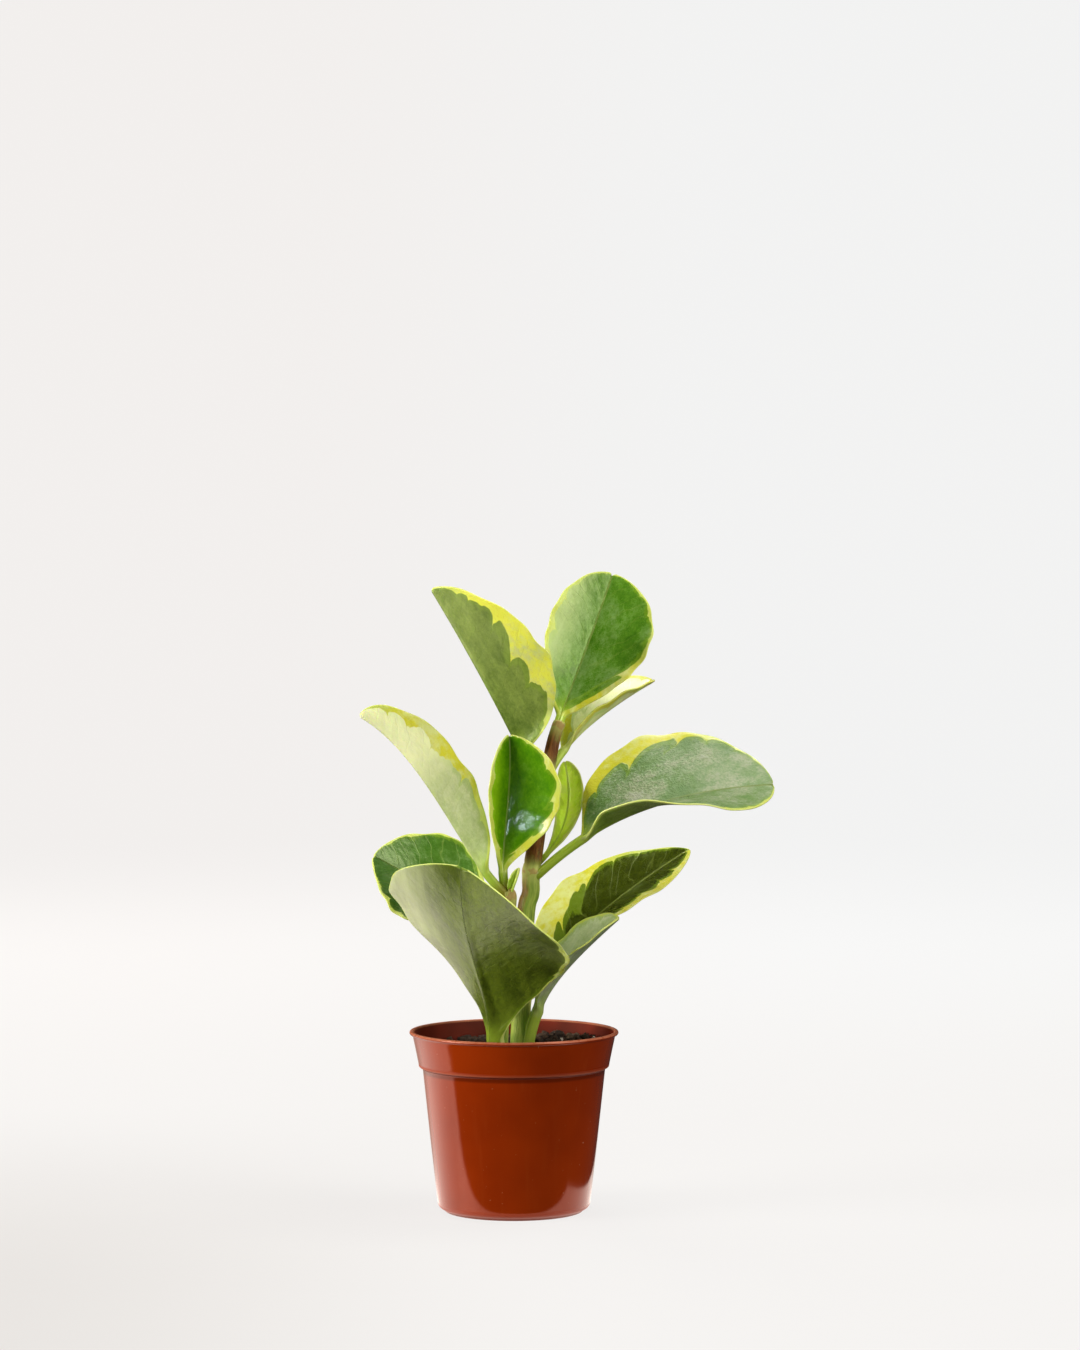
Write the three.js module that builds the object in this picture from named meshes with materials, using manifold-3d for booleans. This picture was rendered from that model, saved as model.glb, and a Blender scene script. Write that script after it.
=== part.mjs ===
// A variegated peperomia in its nursery pot: two leafy shoots standing in potting soil.
// Millimetres, +Z up. The origin is the middle of the pot's underside, which stands on z = 0.
import * as THREE from "three";
import { mergeVertices } from "three/addons/utils/BufferGeometryUtils.js";
import Module from "manifold-3d";

const wasm = await Module();
wasm.setup();

// Pot: a thin moulded pot whose middle stands on the table, with a step to a wider collar.
const POT = {
  height: 77.7,
  lipRadius: 45,
  lipThickness: 1.6,
  collarRadius: 43.9,
  collarFootRadius: 40.9,
  collarHeight: 15.4,
  shoulderRadius: 39.3,
  footRadius: 32.9,
  cornerRadius: 3,
  padRadius: 29.4,
  padStep: 1,
  wall: 1.2,
  segments: 40,
};
const DRAIN = { count: 8, length: 8, width: 3.6, middle: 23.5, depth: 6 };

// Soil: fills the pot to its collar, with a lumpy top heaped toward the back right.
const SOIL = { level: 68, gap: 0.3, lump: 1.4, segments: 40, rings: 7 };
const HEAP = { x: 15, y: 13, spread: 20, height: 4 };

// What lies against something else keeps this distance to it.
const CLEARANCE = 0.35;

// Shoots: points up the middle of the stem, each with the stem's radius there.
const STEM_SIDES = 12;
const STEM_STEPS = 16;
const MAIN_STEM = [
  { at: [1.4, 3, 22], radius: 4.0 },
  { at: [2.6, 3, 72], radius: 4.2 },
  { at: [4.9, 3, 125], radius: 3.9 },
  { at: [7.2, 3, 137], radius: 3.8 },
  { at: [8, 3, 149], radius: 3.8 },
  { at: [15.9, 4, 197], radius: 2.9 },
  { at: [19.8, 5.5, 211], radius: 2.3 },
];
const SIDE_STEM = [
  { at: [-5.5, -7, 30], radius: 2.8 },
  { at: [-5.5, -7, 72], radius: 3.0 },
  { at: [-1.5, -8, 130], radius: 2.5 },
  { at: [-3, -8, 138.5], radius: 2.3 },
];

// Blade: how the flesh of every leaf is built up across its width. The margin waves up
// and down where the half is wide enough, bulges in and out as a share of the width, and
// is notched at the tip.
const BLADE = {
  thickness: 1.3,
  edge: 0.7,
  columns: [-1, -0.62, -0.14, 0, 0.14, 0.62, 1],
  stalkSteps: 3,
  bladeSteps: 17,
  lastStep: 0.996,
  softBase: 0.05,
  notch: 1.2,
  waves: 3.4,
  waveHeight: 0.7,
  waveWidth: 15,
  scallop: 0.015,
};

// Leaves. spine holds the four points of the cubic curve under the midrib, from the stem
// to the tip, and stalk is how much of its length has no blade. face is where the upper
// side looks, at the stem and at the tip. left and right are the two halves as seen from
// above with the tip away: width in mm, fold as the angle by which the half stands up
// from flat at the base and at the tip, and curl as the further bend out to the margin.
// widest and blunt shape the outline: where it is broadest and how its end narrows.
// valley, where a leaf has one, is how far from the midrib the fold is rounded, in mm.
const MAIN_LEAVES = {
  topLeft: {
    spine: [[13, 4, 180], [3, 1, 200], [-15, -13, 235], [-35, -16, 268]],
    stalk: 20,
    stalkRadius: 2,
    face: [[0.8, 0.5, 0.35], [0.9, 0.3, 0.35]],
    left: { width: 31.5, fold: [56, 29], curl: 4 },
    right: { width: 23.5, fold: [62, 59], curl: 16 },
    widest: 0.49,
    blunt: 0.58,
  },
  topRight: {
    spine: [[19, 5, 209], [23, 18, 221], [32, 26, 241], [43, 33, 274]],
    stalk: 5,
    stalkRadius: 2,
    face: [[-0.1, -1, 0.15], [-0.05, -1, 0.1]],
    left: { width: 21, fold: [29, 20], curl: 8 },
    right: { width: 28, fold: [24, 17], curl: 1 },
    widest: 0.58,
    blunt: 0.55,
  },
  topBack: {
    spine: [[15, 4, 188], [21, 12, 202], [38, 26, 214], [61, 38, 227]],
    stalk: 14,
    stalkRadius: 1.8,
    face: [[-0.45, -0.4, 0.8], [-0.45, -0.4, 0.8]],
    left: { width: 14, fold: [50, 20], curl: 10 },
    right: { width: 13.5, fold: [48, 19], curl: 7 },
    widest: 0.56,
    blunt: 0.55,
  },
  rightUpper: {
    spine: [[9, 2, 144], [28, -5, 162], [52, -3, 180], [112, 4, 183]],
    stalk: 27,
    stalkRadius: 2,
    face: [[-0.6, -0.3, 0.75], [-0.1, -0.6, 0.8]],
    left: { width: 32.5, fold: [49, 5], curl: 7 },
    right: { width: 28, fold: [50, -2], curl: 10 },
    widest: 0.5,
    blunt: 0.54,
  },
  rightSmall: {
    spine: [[8, 4, 147], [21, 7, 159], [27, 12, 171], [22, 15, 193]],
    stalk: 9,
    stalkRadius: 1.2,
    face: [[-0.25, -0.95, 0.25], [-0.25, -0.95, 0.25]],
    left: { width: 5.5, fold: [26, 15], curl: 11 },
    right: { width: 7.5, fold: [24, 15], curl: 9 },
    widest: 0.65,
    blunt: 0.55,
  },
  leftBack: {
    spine: [[4, 3, 104], [-7, 12, 119], [-30, 33, 134], [-62, 32, 150]],
    stalk: 28,
    stalkRadius: 2,
    face: [[0.2, -0.85, 0.45], [0.2, -0.6, 0.8]],
    left: { width: 28.5, fold: [7, 18], curl: 2 },
    right: { width: 25.5, fold: [33, 3], curl: 13 },
    widest: 0.57,
    blunt: 0.59,
  },
  rightLower: {
    spine: [[3, 3, 92], [14, 13, 106], [37, 25, 129], [77, 33.5, 153]],
    stalk: 14,
    stalkRadius: 2,
    face: [[-0.6, -0.55, 0.6], [-0.35, -0.55, 0.75]],
    left: { width: 23.5, fold: [40, 0], curl: 5 },
    right: { width: 22.5, fold: [40, 2], curl: 7 },
    widest: 0.46,
    blunt: 0.74,
  },
  rightBase: {
    spine: [[4.6, 2, 60], [5, -1, 88], [14, -11, 100], [45, -18, 128]],
    stalk: 28,
    stalkRadius: 2.7,
    face: [[-0.8, -0.2, 0.55], [-0.75, -0.2, 0.65]],
    left: { width: 13, fold: [45, 23], curl: 0 },
    right: { width: 14.5, fold: [33, 20], curl: 0 },
    widest: 0.62,
    blunt: 0.56,
  },
};
const SIDE_LEAVES = {
  centre: {
    spine: [[-3, -8, 137], [-8, -5, 152], [0, -9, 177], [-2, -14, 206]],
    stalk: 10,
    stalkRadius: 1.8,
    face: [[0.2, -0.95, 0.2], [0.05, -1, 0.1]],
    left: { width: 13, fold: [39, 39], curl: 14 },
    right: { width: 25, fold: [15, 27], curl: 18 },
    widest: 0.62,
    blunt: 0.6,
  },
  leftUpper: {
    spine: [[-3, -8, 137], [-21, -9, 152], [-38, -14, 199], [-66, -15, 214]],
    stalk: 13,
    stalkRadius: 1.9,
    face: [[0.75, 0.4, 0.5], [0.3, 0.45, 0.85]],
    left: { width: 18, fold: [48, 38], curl: 16 },
    right: { width: 21, fold: [64, 60], curl: 11 },
    widest: 0.56,
    blunt: 0.5,
  },
  front: {
    spine: [[-6, -8, 62], [-9, -10, 93], [-24, -43, 119], [-21, -61, 153]],
    stalk: 12,
    stalkRadius: 4,
    face: [[0.45, 0.55, 0.7], [0.45, 0.8, 0.4]],
    left: { width: 48.5, fold: [24, -12], curl: -3 },
    right: { width: 39.5, fold: [37, -1], curl: -3 },
    widest: 0.66,
    blunt: 0.63,
    valley: 6,
  },
  bud: {
    spine: [[-2, -8, 136], [-0.5, -9, 140], [1, -9.5, 144], [2.4, -9, 148.5]],
    stalk: 2,
    stalkRadius: 1,
    face: [[-0.6, -0.8, 0.1], [-0.6, -0.8, 0.1]],
    left: { width: 2.5, fold: [45, 45], curl: 10 },
    right: { width: 2.5, fold: [45, 45], curl: 10 },
    widest: 0.5,
    blunt: 0.55,
  },
};

const vector = (p) => new THREE.Vector3(...p);
const mix = THREE.MathUtils.lerp;
const smooth = THREE.MathUtils.smoothstep;

// Solids and meshes
function solidOf(geometry) {
  const bare = geometry.clone();
  bare.deleteAttribute("normal");
  bare.deleteAttribute("uv");
  const merged = mergeVertices(bare, 1e-4);
  return new wasm.Manifold(
    new wasm.Mesh({
      numProp: 3,
      vertProperties: merged.attributes.position.array,
      triVerts: new Uint32Array(merged.index.array),
    }),
  );
}

function meshOf(name, solid, look) {
  const { vertProperties, triVerts } = solid.getMesh();
  const geometry = new THREE.BufferGeometry()
    .setAttribute("position", new THREE.BufferAttribute(vertProperties, 3))
    .setIndex(new THREE.BufferAttribute(triVerts, 1));
  geometry.computeVertexNormals();
  const mesh = new THREE.Mesh(geometry, new THREE.MeshStandardMaterial(look));
  mesh.name = name;
  return mesh;
}

// Pot
function wallRadius(z) {
  const collarFoot = POT.height - POT.collarHeight;
  const cornerTop = POT.padStep + POT.cornerRadius;
  if (z < collarFoot) {
    const up = (z - cornerTop) / (collarFoot - cornerTop);
    return mix(POT.footRadius, POT.shoulderRadius, up);
  }
  return mix(POT.collarFootRadius, POT.collarRadius, (z - collarFoot) / POT.collarHeight);
}

function quarterRound(radius, height, size, steps = 4) {
  const turn = (i) => ((i / steps) * Math.PI) / 2;
  return Array.from({ length: steps + 1 }, (_, i) => [
    radius - size + size * Math.sin(turn(i)),
    height + size - size * Math.cos(turn(i)),
  ]);
}

function potProfile() {
  const { height, wall, padRadius, padStep, cornerRadius, lipRadius, lipThickness } = POT;
  const collarFoot = height - POT.collarHeight;
  const lipFoot = height - lipThickness;
  const ledge = collarFoot - wall;
  const outside = [
    [0, 0],
    [padRadius, 0],
    ...quarterRound(POT.footRadius, padStep, cornerRadius),
    [POT.shoulderRadius, collarFoot - 0.5 * wall],
    [POT.collarFootRadius, collarFoot],
    [wallRadius(lipFoot - 0.3), lipFoot - 0.3],
    [lipRadius, lipFoot + 0.5],
    [lipRadius, height - 0.5],
    [lipRadius - 0.6, height],
  ];
  const inside = [
    [wallRadius(height) - wall + 0.4, height],
    [wallRadius(collarFoot) - wall, ledge + 1.4 * wall],
    [wallRadius(ledge) - wall, ledge],
    ...quarterRound(POT.footRadius - wall, padStep + wall, cornerRadius - wall).reverse(),
    [padRadius - wall, wall],
    [0, wall],
  ];
  return [...outside, ...inside].map(([r, z]) => new THREE.Vector2(r, z));
}

// A lathe turns about Y: stand it up so that it turns about Z.
function turned(profile, segments) {
  return new THREE.LatheGeometry(profile, segments).rotateX(Math.PI / 2);
}

function pot() {
  let solid = solidOf(turned(potProfile(), POT.segments));
  for (let i = 0; i < DRAIN.count; i++) {
    const slot = new THREE.BoxGeometry(DRAIN.length, DRAIN.width, DRAIN.depth)
      .translate(DRAIN.middle, 0, 0)
      .rotateZ(((i + 0.5) * 2 * Math.PI) / DRAIN.count);
    solid = solid.subtract(solidOf(slot));
  }
  return solid;
}

// Soil: the lumps die away toward the pot.
function soilRise(x, y, rim) {
  const broad = Math.sin(0.17 * x + 1.3) * Math.cos(0.15 * y - 0.6);
  const fine = Math.sin(0.41 * x - 0.3 * y + 2) * Math.sin(0.37 * y + 0.26 * x);
  const lump = SOIL.lump * (broad + 0.8 * fine) * (1 - (Math.hypot(x, y) / rim) ** 6);
  const away = Math.hypot(x - HEAP.x, y - HEAP.y) / HEAP.spread;
  return lump + HEAP.height * Math.exp(-away * away);
}

function soil(shoots) {
  const { wall, padRadius, padStep, cornerRadius } = POT;
  const collarFoot = POT.height - POT.collarHeight;
  const inner = (z) => wallRadius(z) - wall - SOIL.gap;
  const floor = wall + SOIL.gap;
  const rim = inner(SOIL.level);
  const outline = [
    [0, floor],
    [padRadius - wall, floor],
    [padRadius, floor + padStep],
    [inner(padStep + cornerRadius), floor + cornerRadius],
    [inner(collarFoot - 2 * wall), collarFoot - 2 * wall],
    [inner(collarFoot - 2 * wall), collarFoot + wall],
    [rim, SOIL.level],
  ];
  for (let i = SOIL.rings - 1; i >= 0; i--) outline.push([(rim * i) / SOIL.rings, SOIL.level]);
  const profile = outline.map(([r, z]) => new THREE.Vector2(r, z));
  const body = turned(profile, SOIL.segments);
  const place = body.attributes.position;
  for (let i = 0; i < place.count; i++) {
    const [x, y, z] = [place.getX(i), place.getY(i), place.getZ(i)];
    if (z > SOIL.level - 0.1) place.setZ(i, z + soilRise(x, y, rim));
  }
  return shoots.reduce((left, shoot) => left.subtract(shoot), solidOf(body));
}

// A stem or a leaf is a row of closed rings. Each ring goes along its upper edge and back
// along its lower one, and both faces are split into triangles along the same diagonals.
function ringSolid(rings, columns) {
  const size = 2 * columns;
  const index = [];
  const at = (ring, place) => ring * size + place;
  for (let i = 0; i + 1 < rings.length; i++) {
    for (let j = 0; j < size; j++) {
      const k = (j + 1) % size;
      const [a, b, c, d] = [at(i, j), at(i, k), at(i + 1, k), at(i + 1, j)];
      if (j < columns - 1) index.push(a, b, c, a, c, d);
      else index.push(a, b, d, b, c, d);
    }
  }
  for (const [ring, flip] of [[0, true], [rings.length - 1, false]]) {
    for (let j = 0; j + 1 < columns; j++) {
      const [a, b] = [at(ring, j), at(ring, j + 1)];
      const [c, d] = [at(ring, size - 2 - j), at(ring, size - 1 - j)];
      index.push(...(flip ? [a, c, b, a, d, c] : [a, b, c, a, c, d]));
    }
  }
  const points = rings.flat().flatMap((p) => [p.x, p.y, p.z]);
  const geometry = new THREE.BufferGeometry()
    .setAttribute("position", new THREE.Float32BufferAttribute(points, 3))
    .setIndex(index);
  return solidOf(geometry);
}

// Stems
function stem(points, extra) {
  const curve = new THREE.CatmullRomCurve3(points.map((p) => vector(p.at)));
  const steps = points.length - 1;
  const rings = [];
  for (let i = 0; i <= STEM_STEPS; i++) {
    const t = i / STEM_STEPS;
    const k = Math.min(Math.floor(t * steps), steps - 1);
    const radius = mix(points[k].radius, points[k + 1].radius, t * steps - k) + extra;
    const along = curve.getTangent(t);
    const across = new THREE.Vector3().crossVectors(along, vector([0, -1, 0])).normalize();
    const up = new THREE.Vector3().crossVectors(along, across);
    const end = i === 0 ? -extra : i === STEM_STEPS ? extra : 0;
    const middle = curve.getPoint(t).addScaledVector(along, end);
    const ring = [];
    for (let j = 0; j < STEM_SIDES; j++) {
      const a = ((j + 0.5) * 2 * Math.PI) / STEM_SIDES;
      ring.push(
        middle
          .clone()
          .addScaledVector(across, radius * Math.cos(a))
          .addScaledVector(up, radius * Math.sin(a)),
      );
    }
    rings.push(ring);
  }
  return ringSolid(rings, STEM_SIDES / 2);
}

// Leaves
function bladeWidth(b, { widest, blunt }) {
  const soft = BLADE.softBase;
  const rise = (Math.hypot(b, soft) - soft) / (Math.hypot(1, soft) - soft);
  const power = (blunt * widest) / (1 - widest);
  const most = widest ** power * (1 - widest) ** blunt;
  return (rise ** power * (1 - b) ** blunt) / most;
}

function leafSteps(stalkShare) {
  const steps = [];
  for (let i = 0; i < BLADE.stalkSteps; i++) steps.push((stalkShare * i) / BLADE.stalkSteps);
  for (let i = 0; i <= BLADE.bladeSteps; i++) {
    const k = i / BLADE.bladeSteps;
    const b = 0.55 * Math.sin((k * Math.PI) / 2) + 0.45 * k;
    steps.push(mix(stalkShare, 1, b * BLADE.lastStep));
  }
  return steps;
}

// The point and the upper normal at share s of one half's width, in the leaf's own cross
// frame: x runs out along the half, y toward the upper side.
function acrossHalf(half, width, b, s) {
  const spread = 0.4 + 0.6 * smooth(b, 0, 0.15);
  const fold = THREE.MathUtils.degToRad(mix(half.fold[0], half.fold[1], b)) * spread;
  const curl = THREE.MathUtils.degToRad(half.curl) || 1e-6;
  const out = fold + curl * s;
  return {
    x: (width * (Math.sin(out) - Math.sin(fold))) / curl,
    y: (width * (Math.cos(fold) - Math.cos(out))) / curl,
    normal: s === 0 ? [0, 1] : [-Math.sin(out), Math.cos(out)],
  };
}

// Leaf: how far the middle of a rounded fold is filled at x mm from the midrib.
function valleyFill({ left, right, valley = 0 }, b, x) {
  const fold = mix(left.fold[0] + right.fold[0], left.fold[1] + right.fold[1], b) / 2;
  const slope = Math.sin(THREE.MathUtils.degToRad(Math.max(0, fold)));
  return slope * smooth(b, 0, 0.3) * (Math.hypot(x, valley) - x);
}

function leaf(spec, extra) {
  const curve = new THREE.CubicBezierCurve3(...spec.spine.map(vector));
  const stalkShare = spec.stalk / curve.getLength();
  const rings = leafSteps(stalkShare).map((t, step, steps) => {
    const b = Math.max(0, (t - stalkShare) / (1 - stalkShare));
    const along = curve.getTangentAt(t);
    const face = vector(spec.face[0]).normalize().lerp(vector(spec.face[1]).normalize(), t);
    const up = face.addScaledVector(along, -face.dot(along)).normalize();
    const right = new THREE.Vector3().crossVectors(along, up);
    const end = step === 0 ? -extra : step === steps.length - 1 ? extra : 0;
    const middle = curve.getPointAt(t).addScaledVector(along, end);
    const rib = mix(spec.stalkRadius, 0.3, Math.sqrt(b));
    const onStalk = 1 - smooth(b, 0, 0.12);
    const upper = [];
    const lower = [];
    for (const column of BLADE.columns) {
      const half = column < 0 ? spec.left : spec.right;
      const s = Math.abs(column);
      const side = Math.sign(column);
      const turn = 2 * Math.PI * BLADE.waves * b + side;
      const scallop = 1 + BLADE.scallop * Math.sin(1.7 * turn);
      const blade = half.width * bladeWidth(b, spec) * scallop;
      const width = blade + spec.stalkRadius * (1 - b) + extra;
      const { x, y, normal } = acrossHalf(half, width, b, s);
      const rising = Math.min(1, blade / BLADE.waveWidth) * Math.sin(Math.PI * b);
      const wave = BLADE.waveHeight * s * s * rising * Math.sin(turn);
      const flesh = mix(BLADE.thickness, BLADE.edge, s * s) / 2 + extra;
      const round = Math.sqrt(1 - s * s) * spec.stalkRadius * onStalk;
      const keel = Math.sqrt(Math.max(0, rib * rib - (s * width) ** 2));
      const fill = valleyFill(spec, b, x);
      const notch = BLADE.notch * b ** 6 * (1 - s) ** 2;
      const base = middle
        .clone()
        .addScaledVector(right, side * x)
        .addScaledVector(up, y + wave + fill)
        .addScaledVector(along, -notch);
      const outward = new THREE.Vector3()
        .addScaledVector(right, side * normal[0])
        .addScaledVector(up, normal[1]);
      upper.push(base.clone().addScaledVector(outward, flesh + 0.3 * round));
      const under = Math.max(flesh, keel + extra, round + extra);
      lower.push(base.clone().addScaledVector(outward, -under));
    }
    return [...upper, ...lower.reverse()];
  });
  return ringSolid(rings, BLADE.columns.length);
}

// The outer skin alone is kept, so that a pocket between two stalks is filled.
function shoot(stemPoints, leaves, extra = 0) {
  const whole = Object.values(leaves).reduce(
    (sum, spec) => sum.add(leaf(spec, extra)),
    stem(stemPoints, extra),
  );
  return whole.decompose().reduce((a, b) => (b.volume() > a.volume() ? b : a));
}

// The whole plant
const plant = new THREE.Group();
const leafLook = { color: 0x6f9136, roughness: 0.42, metalness: 0 };
plant.add(
  meshOf("pot", pot(), { color: 0x8c2f12, roughness: 0.28, metalness: 0 }),
  meshOf(
    "soil",
    soil([shoot(MAIN_STEM, MAIN_LEAVES, CLEARANCE), shoot(SIDE_STEM, SIDE_LEAVES, CLEARANCE)]),
    { color: 0x3a2a20, roughness: 0.95, metalness: 0 },
  ),
  meshOf("main_shoot", shoot(MAIN_STEM, MAIN_LEAVES), leafLook),
  meshOf("side_shoot", shoot(SIDE_STEM, SIDE_LEAVES), leafLook),
);

export default plant;
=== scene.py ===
"""A variegated peperomia in its brown nursery pot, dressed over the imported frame."""
import math

import bpy
import numpy as np
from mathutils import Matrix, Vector


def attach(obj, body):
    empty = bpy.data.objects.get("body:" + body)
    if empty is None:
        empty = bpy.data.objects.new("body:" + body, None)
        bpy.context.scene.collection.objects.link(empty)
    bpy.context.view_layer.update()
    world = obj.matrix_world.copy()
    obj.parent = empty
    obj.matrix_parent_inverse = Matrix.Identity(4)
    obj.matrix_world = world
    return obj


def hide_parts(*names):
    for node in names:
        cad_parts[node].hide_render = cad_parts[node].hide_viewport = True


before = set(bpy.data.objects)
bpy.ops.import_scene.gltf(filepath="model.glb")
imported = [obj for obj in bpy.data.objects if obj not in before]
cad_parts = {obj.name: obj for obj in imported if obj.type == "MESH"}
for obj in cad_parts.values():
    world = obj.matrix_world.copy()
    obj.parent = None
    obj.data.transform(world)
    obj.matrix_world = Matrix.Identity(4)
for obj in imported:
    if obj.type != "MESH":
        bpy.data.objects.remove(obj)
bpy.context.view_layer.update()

MM = 0.001
rng = np.random.default_rng(7)

# Blade: the same growth rules as the solids, with finer steps. Lengths are in mm.
THICK, THIN = 1.3, 0.7
RIM, RIM_COLUMNS = 0.35, [0.6, 0.3, 0.12, 0.03, 0]
WAVES, WAVE_HEIGHT, WAVE_WIDTH = 3.4, 0.7, 15
SCALLOP, SCALLOPS_A_WAVE = 0.015, 1.7
NOTCH, SOFT_BASE, LAST_STEP = 1.2, 0.05, 0.998
STALK_CROWN, RIB_END = 0.3, 0.3
GROOVE_DEPTH, GROOVE_WIDTH = 0.3, 0.7
CURVE_STEPS, STALK_STEPS, BLADE_STEPS, HALF_COLUMNS = 500, 14, 96, 22

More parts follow.
